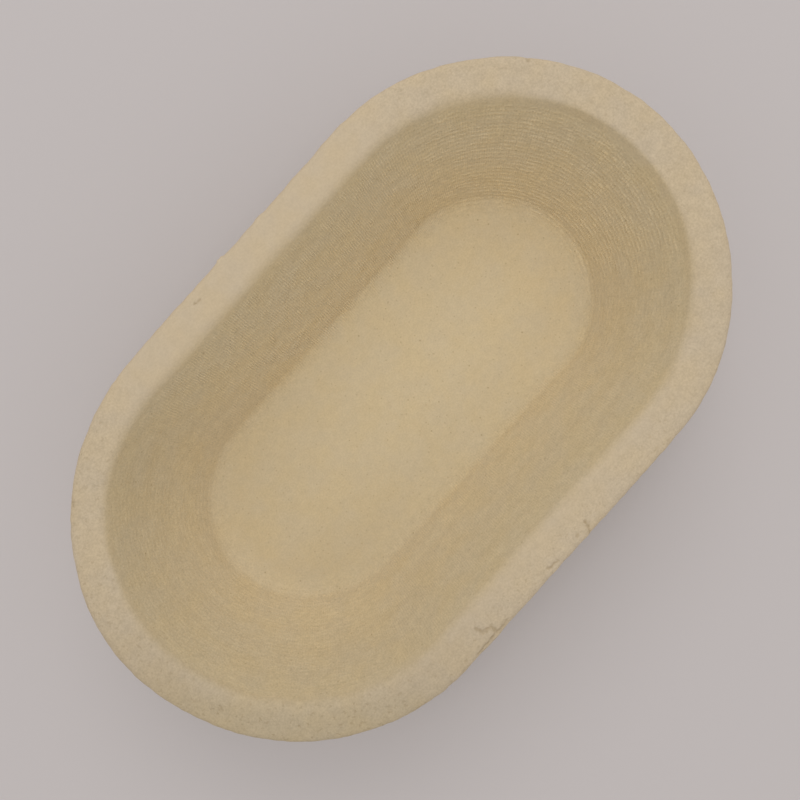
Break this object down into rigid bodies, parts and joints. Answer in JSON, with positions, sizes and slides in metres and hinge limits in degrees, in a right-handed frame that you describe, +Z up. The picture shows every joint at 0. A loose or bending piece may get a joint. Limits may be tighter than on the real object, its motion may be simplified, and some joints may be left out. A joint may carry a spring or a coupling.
{
  "type": "proofing basket",
  "caption": "Oval proofing basket moulded in one piece from wood pulp, with a flat floor, thick sloping walls and a rounded rim, that holds bread dough while it rises.",
  "frame": {"origin": "middle of the underside, on the surface that the basket stands on", "axes": "+X along the basket's length, +Y across it, +Z up out of the mouth"},
  "size_m": [0.28, 0.1674, 0.076],
  "materials": {
    "wood_pulp": "matte"
  },
  "bodies": {
    "root": {"basket_shell": "wood_pulp"}
  },
  "joints": []
}
